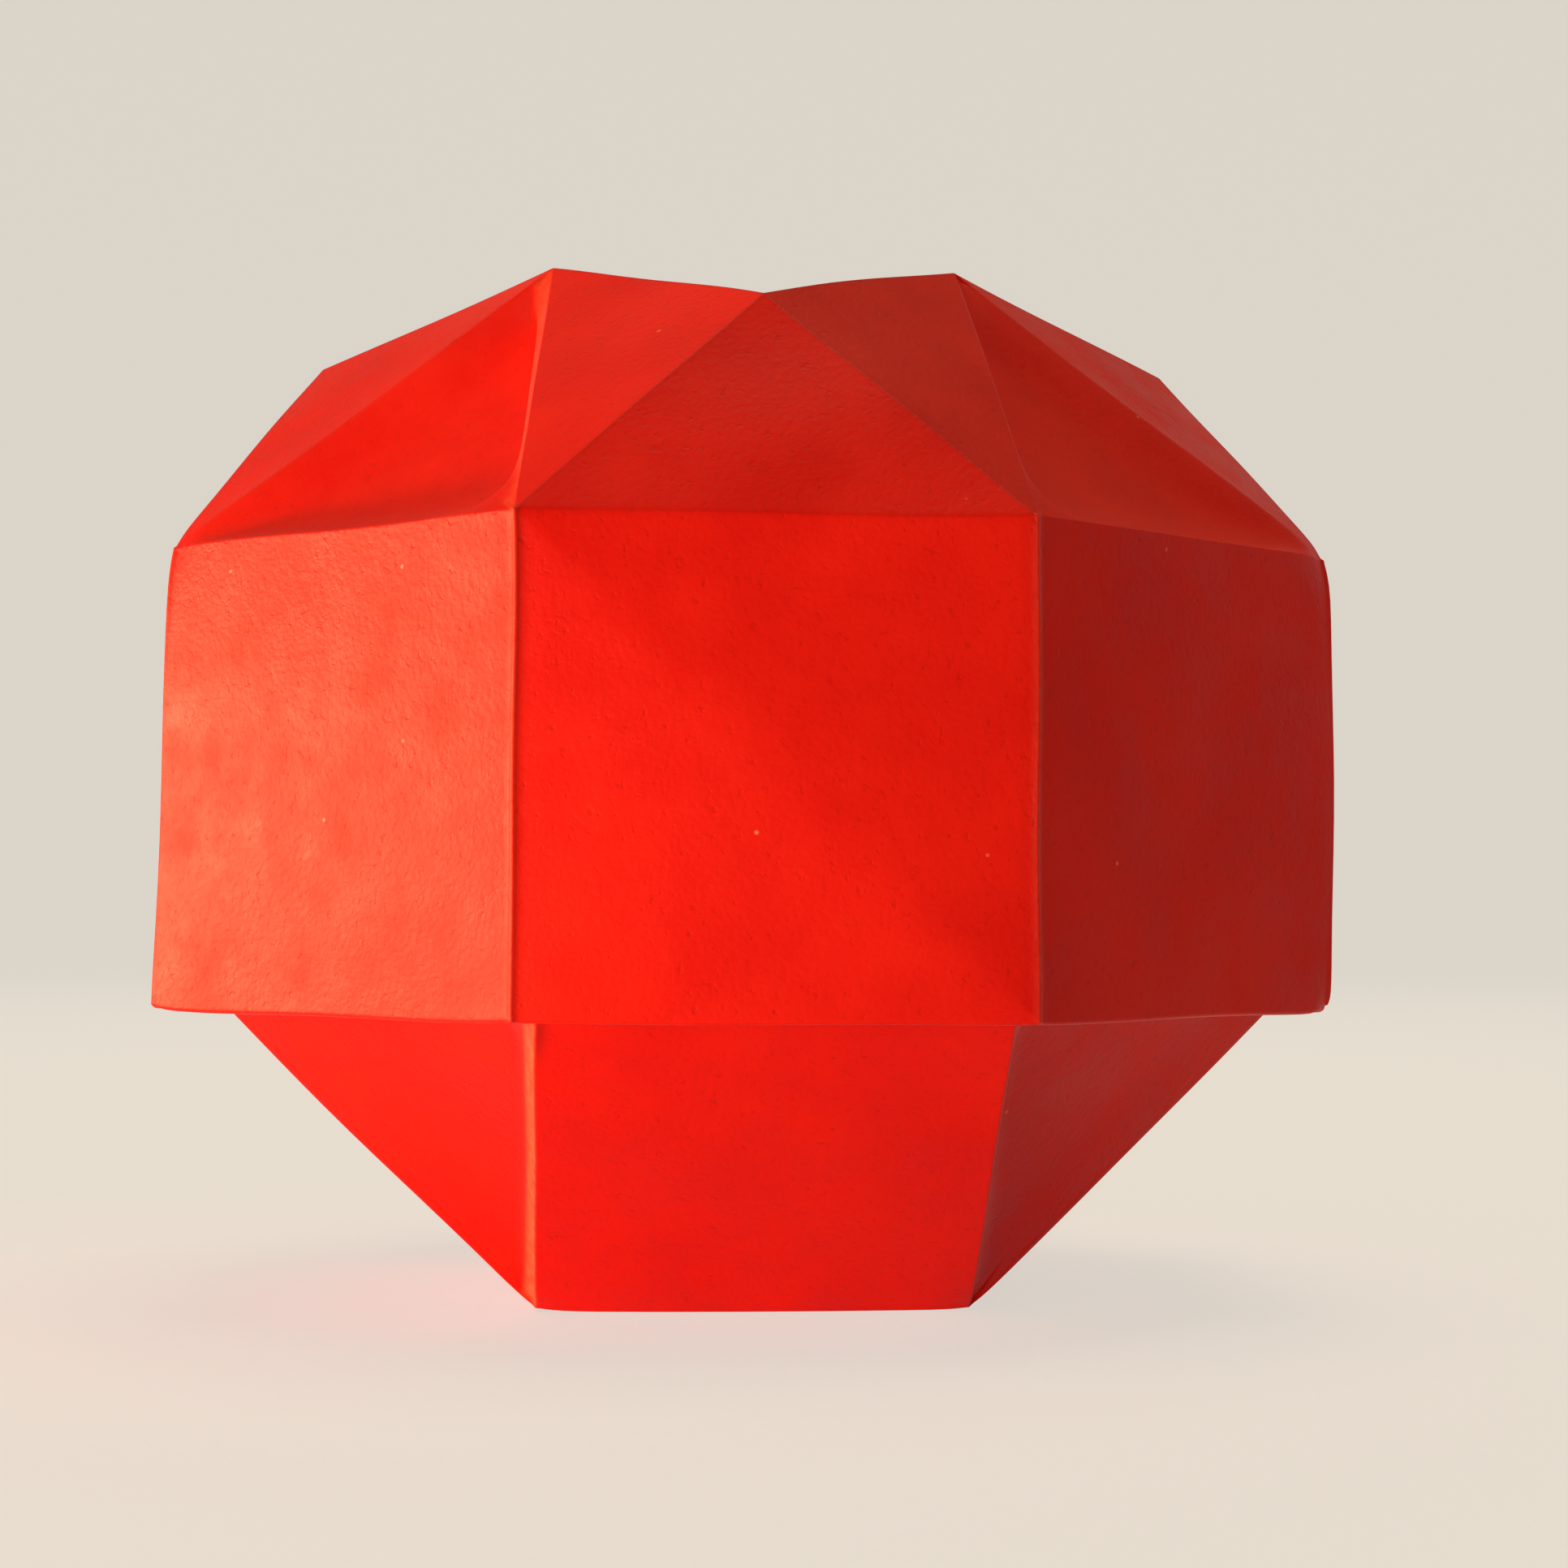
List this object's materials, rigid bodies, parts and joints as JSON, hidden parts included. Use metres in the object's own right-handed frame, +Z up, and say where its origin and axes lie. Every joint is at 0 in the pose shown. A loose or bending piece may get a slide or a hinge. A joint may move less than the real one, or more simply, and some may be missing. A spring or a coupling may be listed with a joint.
{
  "type": "spherical paper box",
  "caption": "Ball-like folded paper box: an eight-sided lid with a creased, pressed-in crown pulled down over a tapering flat-bottomed base.",
  "frame": {"origin": "middle of the flat bottom, on the surface that the box stands on", "axes": "+Z up through the middle of the bottom and the top, -Y out of the front main wall, +X to its right"},
  "size_m": [0.0464, 0.0464, 0.0418],
  "materials": {
    "lid_paper": "matte red craft paper",
    "base_paper": "matte red craft paper"
  },
  "bodies": {
    "base": {"base": "base_paper"},
    "lid": {"lid": "lid_paper"}
  },
  "joints": [
    {"name": "lid_lift", "type": "slide", "parent": "base", "child": "lid", "axis": [0, 0, 1], "range_m": [0, 0.022]}
  ]
}
